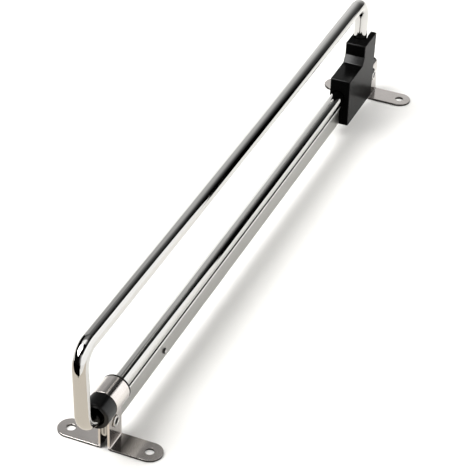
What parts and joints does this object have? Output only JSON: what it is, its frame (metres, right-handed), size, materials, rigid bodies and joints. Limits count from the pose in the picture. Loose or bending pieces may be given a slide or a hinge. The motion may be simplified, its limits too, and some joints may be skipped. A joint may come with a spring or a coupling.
{
  "type": "pull-out clothes rail",
  "caption": "Chrome hanger loop that slides out along a slim rail; straps screw under a shelf, a plastic bush guides the rod and a carriage joins its ends.",
  "frame": {"origin": "middle of the footprint, on the plane of the strap flanges' undersides", "axes": "+Y along the rail towards the carriage, -Y is the end that is pulled out; +Z from the flanges towards the hanger loop; +X to the right seen from the pulled end"},
  "size_m": [0.0562, 0.4072, 0.0803],
  "materials": {
    "chrome_rod": "polished chrome plate",
    "nickel_strip": "bright nickel plate, slightly satin",
    "satin_rail": "satin nickel plate",
    "rivet_steel": "nickel plate",
    "screw_steel": "zinc plate",
    "bush_plastic": "black, half gloss",
    "liner_plastic": "black, smooth running surface",
    "carriage_plastic": "black, matt moulding"
  },
  "bodies": {
    "fixed_rail": {"slide_rail": "satin_rail", "front_strap": "nickel_strip", "rear_strap": "nickel_strip", "front_eyelet": "rivet_steel", "rear_eyelet": "rivet_steel", "front_stop_rivet": "rivet_steel", "rear_stop_rivet": "rivet_steel", "front_bush": "bush_plastic", "bush_liner": "liner_plastic", "bush_clip": "bush_plastic"},
    "pull_out_loop": {"hanger_loop": "chrome_rod", "carriage_block": "carriage_plastic", "run_screw": "screw_steel", "leg_grub_screw": "screw_steel"}
  },
  "joints": [
    {"name": "pull_out", "type": "slide", "parent": "fixed_rail", "child": "pull_out_loop", "axis": [0, -1, 0], "range_m": [0, 0.248]}
  ]
}
